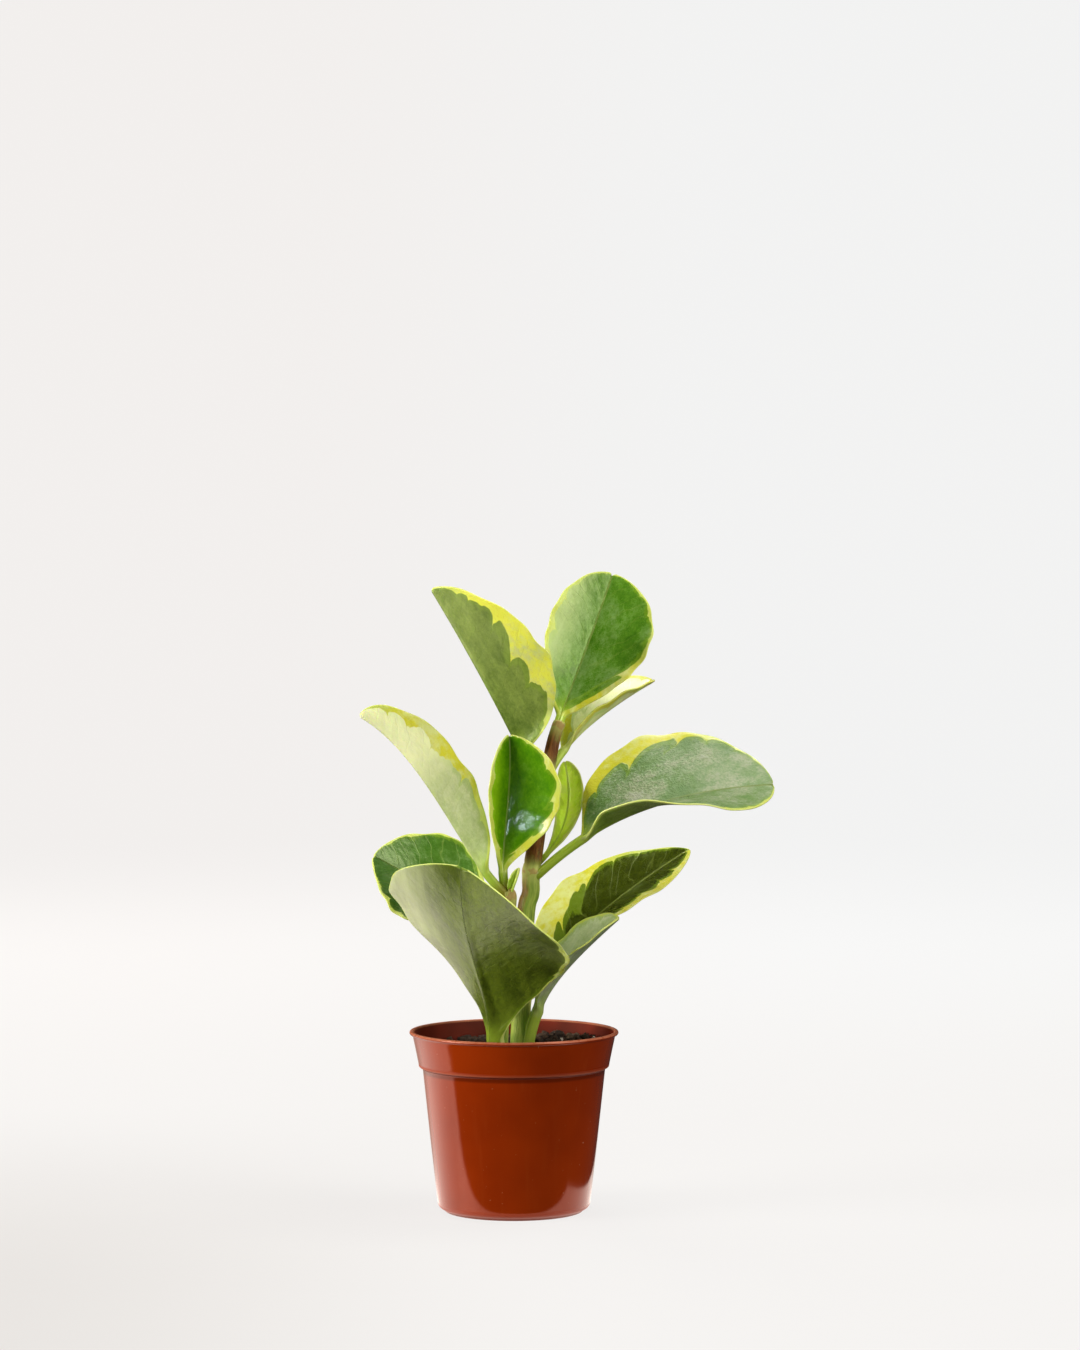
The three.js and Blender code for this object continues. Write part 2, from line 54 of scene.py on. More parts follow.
# Leaves. The first values of each are the solids' own:
# - spine has the four control points of the midrib, and stalk and radius size the stalk;
# - face is which way the upper side looks, at the base and at the tip;
# - width, fold and curl are a half's breadth, how far it is folded up at the base and at the
#   tip, and how far it bends further out to its margin, in degrees;
# - shape is how far along the blade is broadest, and how blunt it is;
# - valley is how far from the midrib the fold is rounded.
# The others belong to the finish:
# - yellow is how far the pale margin reaches in, from the blade's base to its tip, and margin
#   is the deepest colour of it;
# - greens are the dark and light tones of the upper side, and under those of the lower side;
# - silver is how much of the upper side has grey-green patches, quilt how scurfy and puckered
#   it is, and flush how red the stalk is;
# - gloss is how shiny the upper side is, up to 1, and below 0 where it is dull;
# - pale is how much of a second colour a half takes on toward its edge, which paints light and
#   shade on that half, and tip is from where, how much and to what colour the whole blade
#   changes toward its tip.
LEAVES = {
    "top_left": {
        "node": "main_shoot",
        "spine": [[13, 4, 180], [3, 1, 200], [-15, -13, 235], [-35, -16, 268]],
        "stalk": 20,
        "radius": 2,
        "face": [[0.8, 0.5, 0.35], [0.9, 0.3, 0.35]],
        "left": {"width": 31.5, "fold": [56, 29], "curl": 4, "yellow": [2, 3, 10, 15, 10, 5, 2]},
        "right": {"width": 23.5, "fold": [62, 59], "curl": 16, "yellow": [2, 3, 4, 4, 3, 3, 3]},
        "shape": (0.49, 0.58),
        "greens": ("#3b6418", "#6d963a"),
        "under": ("#4c6524", "#90a24e"),
        "silver": 0.3,
        "flush": 0.4,
        "tip": (42, 0.35, "#a4b468"),
        "margin": "#e8e85a",
    },
    "top_right": {
        "node": "main_shoot",
        "spine": [[19, 5, 209], [23, 18, 221], [32, 26, 241], [43, 33, 274]],
        "stalk": 5,
        "radius": 2,
        "face": [[-0.1, -1, 0.15], [-0.05, -1, 0.1]],
        "left": {
            "width": 21, "fold": [29, 20], "curl": 8,
            "yellow": [3, 3, 3, 3, 3, 2, 2],
            "pale": (0.62, "#d2dca0"),
        },
        "right": {"width": 28, "fold": [24, 17], "curl": 1, "yellow": [5, 6, 5, 3, 1, 2, 2]},
        "shape": (0.58, 0.55),
        "greens": ("#38680a", "#68982a"),
        "under": ("#5f7f3a", "#8aa55e"),
        "silver": 0.3,
        "flush": 0.3,
    },
    "top_back": {
        "node": "main_shoot",
        "spine": [[15, 4, 188], [21, 12, 202], [38, 26, 214], [61, 38, 227]],
        "stalk": 14,
        "radius": 1.8,
        "face": [[-0.45, -0.4, 0.8], [-0.45, -0.4, 0.8]],
        "left": {"width": 14, "fold": [50, 20], "curl": 10, "yellow": [5, 5, 4, 4, 4, 4, 4]},
        "right": {"width": 13.5, "fold": [48, 19], "curl": 7, "yellow": [6, 6, 5, 5, 4, 4, 4]},
        "shape": (0.56, 0.55),
        "greens": ("#e4ecaa", "#ffffe4"),
        "under": ("#dcea80", "#f8fccc"),
        "silver": 0.1,
        "flush": 0.4,
        # The tip's near-white is partly the leaf's cream and partly painted glow of light through
        # it.
        "tip": (38, 0.8, "#f6f6d0"),
    },
    "right_upper": {
        "node": "main_shoot",
        "spine": [[9, 2, 144], [28, -5, 162], [52, -3, 180], [112, 4, 183]],
        "stalk": 27,
        "radius": 2,
        "face": [[-0.6, -0.3, 0.75], [-0.1, -0.6, 0.8]],
        "left": {"width": 32.5, "fold": [49, 5], "curl": 7, "yellow": [3, 6, 9, 6, 3, 1.5, 1.5]},
        "right": {"width": 28, "fold": [50, -2], "curl": 10, "yellow": [2, 2, 2.5, 2.5, 2.5, 2, 2]},
        "shape": (0.5, 0.54),
        "greens": ("#587e3e", "#8aa468"),
        "under": ("#5a7820", "#86a040"),
        "silver": 0.5,
        "flush": 0.2,
        "tip": (36, 0.3, "#56703e"),
        "quilt": 1.6,
        "gloss": 0.6,
    },
    "right_small": {
        "node": "main_shoot",
        "spine": [[8, 4, 147], [21, 7, 159], [27, 12, 171], [22, 15, 193]],
        "stalk": 9,
        "radius": 1.2,
        "face": [[-0.25, -0.95, 0.25], [-0.25, -0.95, 0.25]],
        "left": {"width": 5.5, "fold": [26, 15], "curl": 11, "yellow": [1, 1, 1, 1, 1, 1, 1]},
        "right": {"width": 7.5, "fold": [24, 15], "curl": 9, "yellow": [1, 2, 1, 1, 1, 1, 1]},
        "shape": (0.65, 0.55),
        "greens": ("#ccf02c", "#e8fa60"),
        "under": ("#ccf02c", "#e8fa60"),
        "silver": 0.2,
        "flush": 0.9,
    },
    "left_back": {
        "node": "main_shoot",
        "spine": [[4, 3, 104], [-7, 12, 119], [-30, 33, 134], [-62, 32, 150]],
        "stalk": 28,
        "radius": 2,
        "face": [[0.2, -0.85, 0.45], [0.2, -0.6, 0.8]],
        "left": {
            "width": 28.5, "fold": [7, 18], "curl": 2,
            "yellow": [2, 2, 2, 2, 3, 2, 2],
            "pale": (0.8, "#2c5010"),
        },
        "right": {"width": 25.5, "fold": [33, 3], "curl": 13, "yellow": [2, 2, 2, 1, 1, 2, 2]},
        "shape": (0.57, 0.59),
        "greens": ("#335a10", "#4e7826"),
        "under": ("#557232", "#7d9656"),
        "silver": 0.3,
        "flush": 0.3,
        "tip": (50, 0.7, "#2c5a10"),
        "gloss": -0.5,
    },
    "right_lower": {
        "node": "main_shoot",
        "spine": [[3, 3, 92], [14, 13, 106], [37, 25, 129], [77, 33.5, 153]],
        "stalk": 14,
        "radius": 2,
        "face": [[-0.6, -0.55, 0.6], [-0.35, -0.55, 0.75]],
        "left": {"width": 23.5, "fold": [40, 0], "curl": 5, "yellow": [3, 14, 12, 7, 3, 2, 1]},
        "right": {"width": 22.5, "fold": [40, 2], "curl": 7, "yellow": [3, 3, 4, 7, 7, 5, 3]},
        "shape": (0.46, 0.74),
        "greens": ("#262f02", "#424e0a"),
        "under": ("#4c6a22", "#73903e"),
        "silver": 0.1,
        "flush": 0.3,
    },
    "right_base": {
        "node": "main_shoot",
        "spine": [[4.6, 2, 60], [5, -1, 88], [14, -11, 100], [45, -18, 128]],
        "stalk": 28,
        "radius": 2.7,
        "face": [[-0.8, -0.2, 0.55], [-0.75, -0.2, 0.65]],
        "left": {"width": 13, "fold": [45, 23], "curl": 0, "yellow": [1, 1, 2, 2, 2, 2, 2]},
        "right": {"width": 14.5, "fold": [33, 20], "curl": 0, "yellow": [0, 0, 0, 0, 0.5, 1, 1]},
        "shape": (0.62, 0.56),
        "greens": ("#aebf86", "#d8dfb8"),
        "under": ("#7e9660", "#b4c09a"),
        "silver": 0.1,
        "flush": 0.1,
    },
    "centre": {
        "node": "side_shoot",
        "spine": [[-3, -8, 137], [-8, -5, 152], [0, -9, 177], [-2, -14, 206]],
        "stalk": 10,
        "radius": 1.8,
        "face": [[0.2, -0.95, 0.2], [0.05, -1, 0.1]],
        "left": {
            "width": 13, "fold": [39, 39], "curl": 14,
            "yellow": [3, 3, 3, 2.5, 3, 2, 1.5],
            "pale": (0.6, "#a4d418"),
        },
        "right": {"width": 25, "fold": [15, 27], "curl": 18, "yellow": [3, 4, 3, 4, 2.5, 4, 2]},
        "shape": (0.62, 0.6),
        "greens": ("#3a7004", "#629a08"),
        "under": ("#557a2c", "#7f9f50"),
        "silver": 0.05,
        "flush": 0.7,
        "gloss": 1,
    },
    "left_upper": {
        "node": "side_shoot",
        "spine": [[-3, -8, 137], [-21, -9, 152], [-38, -14, 199], [-66, -15, 214]],
        "stalk": 13,
        "radius": 1.9,
        "face": [[0.75, 0.4, 0.5], [0.3, 0.45, 0.85]],
        "left": {"width": 18, "fold": [48, 38], "curl": 16, "yellow": [1, 2, 3, 5, 7, 5, 1]},
        "right": {"width": 21, "fold": [64, 60], "curl": 11, "yellow": [2, 2, 3, 3, 3, 3, 3]},
        "shape": (0.56, 0.5),
        "greens": ("#4c7a22", "#7c9f48"),
        "under": ("#a0b074", "#cad0a0"),
        "silver": 0.4,
        "flush": 0.6,
        "tip": (50, 1, "#eceebc"),
    },
    "front": {
        "node": "side_shoot",
        "spine": [[-6, -8, 62], [-9, -10, 93], [-24, -43, 119], [-21, -61, 153]],
        "stalk": 12,
        "radius": 4,
        "face": [[0.45, 0.55, 0.7], [0.45, 0.8, 0.4]],
        "left": {
            "width": 48.5, "fold": [24, -12], "curl": -3,
            "yellow": [0.6, 1, 2, 3.5, 3, 1, 0.6],
            "pale": (0.5, "#2a3206"),
        },
        "right": {
            "width": 39.5, "fold": [37, -1], "curl": -3,
            "yellow": [0.5, 0.5, 0.5, 0.8, 0.8, 0.5, 0.5],
            "pale": (0.95, "#ccd2a4"),
        },
        "shape": (0.66, 0.63),
        "valley": 6,
        "greens": ("#37601a", "#5f8838"),
        "under": ("#35440c", "#66771d"),
        "silver": 0.3,
        "flush": 0.0,
    },
    "bud": {
        "node": "side_shoot",
        "spine": [[-2, -8, 136], [-0.5, -9, 140], [1, -9.5, 144], [2.4, -9, 148.5]],
        "stalk": 2,
        "radius": 1,
        "face": [[-0.6, -0.8, 0.1], [-0.6, -0.8, 0.1]],
        "left": {"width": 2.5, "fold": [45, 45], "curl": 10, "yellow": [0, 0, 0, 1, 1, 1, 1]},
        "right": {"width": 2.5, "fold": [45, 45], "curl": 10, "yellow": [0, 0, 0, 1, 1, 1, 1]},
        "shape": (0.5, 0.55),
        "greens": ("#8fb030", "#bccb60"),
        "under": ("#9ab442", "#bcc968"),
        "silver": 0,
        "flush": 0.3,
    },
}

# Stems: points up the middle with radii, and the heights of the joints where leaves grow.
# A joint swells, and has a nick a little above it.
STEMS = {
    "main_shoot": {
        "points": [
            [1.4, 3, 22], [2.6, 3, 72], [4.9, 3, 125], [7.2, 3, 137], [8, 3, 149], [15.9, 4, 197],
            [19.8, 5.5, 211],
        ],
        "radii": [4.0, 4.2, 3.9, 3.8, 3.8, 2.9, 2.3],
        "joints": [92, 104, 146, 181, 189, 209],
    },
    "side_shoot": {
        "points": [[-5.5, -7, 30], [-5.5, -7, 72], [-1.5, -8, 130], [-3, -8, 138.5]],
        "radii": [2.8, 3.0, 2.5, 2.3],
        "joints": [100, 136],
    },
}
STEM_SIDES, STEM_STEPS, ROUND_END = 40, 260, 0.012
SWELL, SWELL_LENGTH, JOINT_BAND = 0.35, 2.2, 4
NICK, NICK_LENGTH, NICK_ABOVE = 0.22, 0.5, 3.4

# Pot
POT_HEIGHT, POT_WALL, POT_SIDES = 77.7, 1.2, 160
DRAINS, DRAIN_REACH, DRAIN_SIZE = 8, 23.5, (8, 3.6, 6)

# Soil: its own level and rim, the broad heap behind the stems, the small one by the wall, and
# the places where stems and stalks stand, as x, y and the radius that stays free of grains
SOIL_LEVEL, SOIL_RIM, SOIL_UNDER, SKIRT = 68, 40.6, 64, 0.93
HEAP_X, HEAP_Y, HEAP_SPREAD, HEAP_HEIGHT = 15, 13, 20, 4
SIDE_HEAP_X, SIDE_HEAP_Y, SIDE_HEAP_SPREAD, SIDE_HEAP_HEIGHT = 34, 13, 22, 3.4
STEM_FEET = [(2.6, 3, 5.2), (-5.5, -7, 4.2), (-7, -9.5, 4.5), (4.8, 1.2, 3.8)]


def unit(v):
    """Directions of length 1."""
    return v / np.maximum(np.linalg.norm(v, axis=-1, keepdims=True), 1e-12)


def smooth(x, low, high):
    """0 below low, 1 above high, and smooth between."""
    t = np.clip((x - low) / (high - low), 0, 1)
    return t * t * (3 - 2 * t)


def colour(code):
    """A web colour as the linear colour that a shader takes."""
    parts = [int(code[i : i + 2], 16) / 255 for i in (1, 3, 5)]
    return (*[p / 12.92 if p <= 0.04045 else ((p + 0.055) / 1.055) ** 2.4 for p in parts], 1)


def shape_object(name, points, faces, marks=None, body="root"):
    """A smooth mesh from points in millimetres, with named numbers at its points."""
    mesh = bpy.data.meshes.new(name)
    mesh.from_pydata((np.asarray(points) * MM).tolist(), [], faces)
    for mark, values in (marks or {}).items():
        layer = mesh.attributes.new(mark, "FLOAT", "POINT")
        layer.data.foreach_set("value", np.asarray(values, np.float32).ravel())
    mesh.polygons.foreach_set("use_smooth", [True] * len(mesh.polygons))
    mesh.update()
    made = bpy.data.objects.new(name, mesh)
    bpy.context.scene.collection.objects.link(made)
    if body:
        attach(made, body)
    return made


def ring_faces(rings, size):
    """Quads between closed rings of points, and then the two ends."""
    index = np.arange(rings * size).reshape(rings, size)
    ahead = np.roll(index, -1, axis=1)
    quads = np.stack([index[:-1], ahead[:-1], ahead[1:], index[1:]], -1).reshape(-1, 4).tolist()
    return quads + [index[0][::-1].tolist(), index[-1].tolist()]


# Leaves
def leaf_steps(stalk):
    """Where the cross-sections stand, as shares of the midrib, finer toward the tip."""
    k = np.linspace(0, 1, BLADE_STEPS)
    blade = (0.55 * np.sin(k * math.pi / 2) + 0.45 * k) * LAST_STEP
    return np.r_[np.linspace(0, stalk, STALK_STEPS, endpoint=False), stalk + (1 - stalk) * blade]


def spine_frame(spec):
    """Points, directions, upper normals and right-hand sides along the midrib."""
    p = np.array(spec["spine"], float)
    u = np.linspace(0, 1, CURVE_STEPS)[:, None]
    v = 1 - u
    curve = v**3 * p[0] + 3 * u * v**2 * p[1] + 3 * u**2 * v * p[2] + u**3 * p[3]
    slope = v**2 * (p[1] - p[0]) + 2 * u * v * (p[2] - p[1]) + u**2 * (p[3] - p[2])
    reach = np.r_[0, np.cumsum(np.linalg.norm(np.diff(curve, axis=0), axis=1))]
    stalk = spec["stalk"] / reach[-1]
    t = leaf_steps(stalk)

    def pick(rows):
        return np.stack([np.interp(t * reach[-1], reach, rows[:, i]) for i in range(3)], -1)

    along = unit(pick(slope))
    start, end = (unit(np.array(f, float)) for f in spec["face"])
    face = start * (1 - t[:, None]) + end * t[:, None]
    up = unit(face - (face * along).sum(-1, keepdims=True) * along)
    return t, stalk, reach[-1], pick(curve), along, up, np.cross(along, up)


def blade_outline(b, widest, blunt):
    """A half's breadth at b, from 0 at the blade's base to 1 at its tip, as a share."""
    rise = (np.hypot(b, SOFT_BASE) - SOFT_BASE) / (math.hypot(1, SOFT_BASE) - SOFT_BASE)
    power = blunt * widest / (1 - widest)
    return rise**power * (1 - b) ** blunt / (widest**power * (1 - widest) ** blunt)


def leaf_half(spec, side, b, middle, along, up, right):
    """Upper and lower points of one half, and the numbers that its finish goes by.

    b runs from the blade's base to its tip, and a from the midrib out to the margin.
    """
    half = spec["left"] if side < 0 else spec["right"]
    turn = 2 * math.pi * WAVES * b + side
    scallops = 1 + SCALLOP * np.sin(SCALLOPS_A_WAVE * turn)
    blade = half["width"] * blade_outline(b, *spec["shape"]) * scallops
    width = (blade + spec["radius"] * (1 - b))[:, None]
    rim = np.minimum(RIM, 0.5 * width)
    inner = np.linspace(0, 1, HALF_COLUMNS)[None] * (1 - rim / width)
    outer = 1 - np.array(RIM_COLUMNS)[None] * rim / width
    a = np.concatenate([inner, outer], 1)
    to_margin = (1 - a) * width
    # The half is folded up about the midrib, less so by the stalk, and bends on to its margin.
    spread = (0.4 + 0.6 * smooth(b, 0, 0.15))[:, None]
    fold = np.radians(half["fold"][0] + (half["fold"][1] - half["fold"][0]) * b)[:, None] * spread
    curl = math.radians(half["curl"]) or 1e-6
    out = fold + curl * a
    x = width * (np.sin(out) - np.sin(fold)) / curl
    y = width * (np.cos(fold) - np.cos(out)) / curl
    # The margin waves, the fold's valley is rounded, and the tip has a small notch.
    rising = (np.minimum(1, blade / WAVE_WIDTH) * np.sin(math.pi * b))[:, None]
    y = y + WAVE_HEIGHT * a**2 * rising * np.sin(turn)[:, None]
    valley = spec.get("valley", 0)
    both = [np.mean([spec[h]["fold"][end] for h in ("left", "right")]) for end in (0, 1)]
    slope = np.sin(np.radians(np.maximum(0, both[0] + (both[1] - both[0]) * b))) * smooth(b, 0, 0.3)
    y = y + slope[:, None] * (np.hypot(x, valley) - x)
    notch = NOTCH * (b**6)[:, None] * (1 - a) ** 2
    base = (
        middle[:, None]
        + side * right[:, None] * x[..., None]
        + up[:, None] * y[..., None]
        - along[:, None] * notch[..., None]
    )
    # Flesh stands on both sides of that sheet, with a groove over the midrib and a keel under.
    across = a * width
    lean = out * smooth(across, 0, max(1.5, 1.3 * valley))
    normal = up[:, None] * np.cos(lean)[..., None] - side * right[:, None] * np.sin(lean)[..., None]
    rounding = np.sqrt(1 - (1 - np.minimum(to_margin / rim, 1)) ** 2)
    flesh = (THICK + (THIN - THICK) * a**2) / 2 * rounding
    on_stalk = (1 - smooth(b, 0, 0.12))[:, None]
    stalk_round = np.sqrt(1 - a**2) * spec["radius"] * on_stalk
    rib = (spec["radius"] + (RIB_END - spec["radius"]) * np.sqrt(b))[:, None]
    keel = rib * np.clip(1 - (across / (1.5 * rib)) ** 2, 0, 1) ** 1.5
    groove = GROOVE_DEPTH * np.exp(-((across / GROOVE_WIDTH) ** 2))
    groove = groove * (1 - on_stalk) * (1 - b[:, None])
    over = base + normal * (flesh + STALK_CROWN * stalk_round - groove)[..., None]
    below = base - normal * np.cbrt(flesh**3 + keel**3 + stalk_round**3)[..., None]
    yellow = np.interp(b, np.linspace(0, 1, len(half["yellow"])), half["yellow"])
    return over, below, side * across, to_margin, np.repeat(yellow[:, None], a.shape[1], 1)


def loop(over, below):
    """Rings from rows of the upper side and the same rows of the lower side."""
    return np.concatenate([over, below[:, -2:0:-1]], 1)


def grow_leaf(name, spec):
    t, stalk, length, middle, along, up, right = spine_frame(spec)
    b = np.clip((t - stalk) / (1 - stalk), 0, 1)
    halves = [leaf_half(spec, side, b, middle, along, up, right) for side in (-1, 1)]
    whole = [np.concatenate([left[:, :0:-1], right], 1) for left, right in zip(*halves)]
    over, below, across, to_margin, yellow = whole
    points = loop(over, below)
    rings, size = points.shape[:2]
    stations = np.repeat((b * (1 - stalk) * length)[:, None], over.shape[1], 1)
    stalk_left = np.repeat(np.clip(1 - t / stalk, 0, 1)[:, None], over.shape[1], 1)
    upper = np.ones_like(across)
    upper[:, [0, -1]] = 0.5
    marks = {
        "across": loop(across, across),
        "along": loop(stations, stations),
        "edge": loop(to_margin, to_margin),
        "yellow": loop(yellow, yellow),
        "upper": loop(upper, 0 * upper),
        "stalk": loop(stalk_left, stalk_left),
    }
    made = shape_object("leaf_" + name, points.reshape(-1, 3), ring_faces(rings, size), marks)
    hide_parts(spec["node"])
    return made


# Stems
def stem_line(points, radii, t):
    """Points on a smooth line through the stem's points, and its radius there."""
    p = np.array(points, float)
    p = np.vstack([2 * p[0] - p[1], p, 2 * p[-1] - p[-2]])
    place = t * (len(points) - 1)
    k = np.minimum(place.astype(int), len(points) - 2)
    f = (place - k)[:, None]
    a, b, c, d = p[k], p[k + 1], p[k + 2], p[k + 3]
    line = 2 * b + (c - a) * f + (2 * a - 5 * b + 4 * c - d) * f**2
    line = 0.5 * (line + (3 * b - a - 3 * c + d) * f**3)
    return line, np.interp(place, np.arange(len(points)), radii)


def grow_stem(node, spec):
    t = np.linspace(0, 1, STEM_STEPS)
    line, radius = stem_line(spec["points"], spec["radii"], t)
    height = line[:, 2]
    for joint in spec["joints"]:
        above = height - joint
        radius = radius + SWELL * np.exp(-((above / SWELL_LENGTH) ** 2))
        radius = radius - NICK * np.exp(-(((above - NICK_ABOVE) / NICK_LENGTH) ** 2))
    along = unit(np.gradient(line, axis=0))
    across = unit(np.cross(along, [0, -1, 0]))
    up = np.cross(along, across)
    turn = np.arange(STEM_SIDES) * 2 * math.pi / STEM_SIDES
    ridges = 1 + 0.018 * np.sin(5 * turn)[None] + 0.012 * np.sin(9 * turn + 1)[None]
    past = ((t - t[-1] + ROUND_END) / ROUND_END).clip(0, 1)
    end = np.minimum(1, np.sqrt(np.maximum(0, 1 - past**2)) + 0.05)
    spread = radius[:, None] * ridges * end[:, None]
    points = (
        line[:, None]
        + across[:, None] * (spread * np.cos(turn))[..., None]
        + up[:, None] * (spread * np.sin(turn))[..., None]
    )
    lift = np.repeat(height[:, None], STEM_SIDES, 1)
    joint_near = sum(np.exp(-(((lift - joint) / JOINT_BAND) ** 2)) for joint in spec["joints"])
    around = np.repeat(np.cos(turn)[None], STEM_STEPS, 0)
    marks = {"height": lift, "joint": np.clip(joint_near, 0, 1), "around": around}
    faces = ring_faces(STEM_STEPS, STEM_SIDES)
    made = shape_object("stem_" + node, points.reshape(-1, 3), faces, marks)
    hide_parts(node)
    return made


# Pot
def arc(centre, radius, start, end, steps):
    """Points on a rounded edge of the profile, with its angles in degrees."""
    turn = np.radians(np.linspace(start, end, steps))
    return [[centre[0] + radius * math.cos(a), centre[1] + radius * math.sin(a)] for a in turn]


def pot_profile():
    """Radius and height from the floor's middle up the outside and back down the inside."""
    outside = [[0, 0], [26, 0], [29, 0], *arc((29.4, 0.5), 0.5, -90, -20, 4)]
    outside += arc((29.9, 4), 3, -80, -4, 8)
    outside += [[32.96, 4.6], [36, 31], [39.2, 60.6], *arc((39.9, 61.2), 0.6, 178, 100, 5)]
    outside += arc((40.3, 62.9), 0.7, -70, -8, 5)
    outside += [[41.1, 63.6], [42.4, 70], [43.5, 75.2], *arc((44.1, 75.7), 0.5, 170, 100, 4)]
    outside += arc((44.2, POT_HEIGHT - 0.8), 0.8, -70, 100, 9)
    inside = [*arc((43.7, POT_HEIGHT - 0.7), 0.7, 100, 175, 5), [42.5, 75.6], [39.9, 63.6]]
    inside += arc((39.2, 62.5), 0.6, 20, -60, 4)
    inside += [[38.3, 61.6], [38.0, 61.0], [34.9, 33], [31.75, 4.6]]
    inside += arc((29.9, 4), 1.8, -4, -80, 6)
    inside += [[28.6, 1.3], [26, POT_WALL], [0, POT_WALL]]
    return np.array(outside + inside)


def lathe(name, profile, sides):
    """A closed body turned about the Z axis from a profile that starts and ends on it."""
    turn = np.arange(sides) * 2 * math.pi / sides
    rings = profile[1:-1]
    wheel = np.stack([np.cos(turn), np.sin(turn)], -1)
    points = np.concatenate(
        [rings[:, None, :1] * wheel[None], np.repeat(rings[:, None, 1:], sides, 1)], -1
    ).reshape(-1, 3)
    *faces, bottom, top = ring_faces(len(rings), sides)
    first, last = len(points), len(points) + 1
    start, end = bottom[::-1], top
    faces += [[first, b, a] for a, b in zip(start, start[1:] + start[:1])]
    faces += [[last, a, b] for a, b in zip(end, end[1:] + end[:1])]
    ends = [[0, 0, profile[0][1]], [0, 0, profile[-1][1]]]
    return shape_object(name, np.vstack([points, ends]), faces)


def make_pot():
    made = lathe("pot_shell", pot_profile(), POT_SIDES)
    for i in range(DRAINS):
        bpy.ops.mesh.primitive_cube_add(size=1)
        drain = bpy.context.object
        turn = (i + 0.5) * 2 * math.pi / DRAINS
        drain.location = (DRAIN_REACH * MM * math.cos(turn), DRAIN_REACH * MM * math.sin(turn), 0)
        drain.rotation_euler = (0, 0, turn)
        drain.scale = [side * MM for side in DRAIN_SIZE]
        cut = made.modifiers.new("drain", "BOOLEAN")
        cut.operation = "DIFFERENCE"
        cut.object = drain
        bpy.context.view_layer.objects.active = made
        bpy.ops.object.modifier_apply(modifier=cut.name)
        bpy.data.objects.remove(drain)
    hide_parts("pot")
    return made


# Soil
def soil_height(x, y):
    """The lumpy level that the soil's solid has too."""
    broad = np.sin(0.17 * x + 1.3) * np.cos(0.15 * y - 0.6)
    fine = np.sin(0.41 * x - 0.3 * y + 2) * np.sin(0.37 * y + 0.26 * x)
    lump = 1.4 * (broad + 0.8 * fine) * (1 - (np.hypot(x, y) / SOIL_RIM) ** 6)
    away = np.hypot(x - HEAP_X, y - HEAP_Y) / HEAP_SPREAD
    return SOIL_LEVEL + lump + HEAP_HEIGHT * np.exp(-(away**2))


def crumb_heap(x, y):
    """Extra height of the loose crumbs."""
    by_wall = np.exp(-((x - SIDE_HEAP_X) ** 2 + (y - SIDE_HEAP_Y) ** 2) / SIDE_HEAP_SPREAD)
    return 0.5 + 0.4 * np.sin(0.9 * x) * np.sin(0.8 * y + 1) + SIDE_HEAP_HEIGHT * by_wall


def make_soil_top():
    """The rough skin of the soil, closed underneath by a flat disc."""
    sides, rings = 150, 56
    turn = np.arange(sides) * 2 * math.pi / sides
    radius = SOIL_RIM * (np.arange(1, rings + 1) / rings)
    x = radius[:, None] * np.cos(turn)
    y = radius[:, None] * np.sin(turn)
    rough = rng.normal(0, 0.35, x.shape)
    rough = (rough + np.roll(rough, 1, 1) + np.roll(rough, -1, 1)) / 1.6
    z = soil_height(x, y) + 0.4 * crumb_heap(x, y) + np.clip(rough, -0.8, 0.9)
    top = np.stack([x, y, z], -1).reshape(-1, 3)
    middles = [[0, 0, soil_height(0, 0)], [0, 0, SOIL_UNDER]]
    rim = np.stack([SKIRT * x[-1], SKIRT * y[-1], np.full(sides, SOIL_UNDER)], -1)
    points = np.vstack([top, middles, rim])
    index = np.arange(rings * sides).reshape(rings, sides)
    ahead = np.roll(index, -1, axis=1)
    faces = np.stack([index[:-1], index[1:], ahead[1:], ahead[:-1]], -1).reshape(-1, 4).tolist()
    middle, bottom = rings * sides, rings * sides + 1
    low = np.arange(sides) + bottom + 1
    low_ahead = np.roll(low, -1)
    faces += [[middle, a, b] for a, b in zip(index[0], ahead[0])]
    faces += np.stack([index[-1], low, low_ahead, ahead[-1]], -1).tolist()
    faces += [[bottom, b, a] for a, b in zip(low, low_ahead)]
    made = shape_object("soil_top", points, faces)
    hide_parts("soil")
    return made


def ball_points():
    """A small ball of 42 points as a start for a crumb."""
    bpy.ops.mesh.primitive_ico_sphere_add(subdivisions=2, radius=1)
    ball = bpy.context.object
    points = np.array([v.co for v in ball.data.vertices])
    faces = np.array([list(p.vertices) for p in ball.data.polygons])
    bpy.data.objects.remove(ball)
    return points, faces


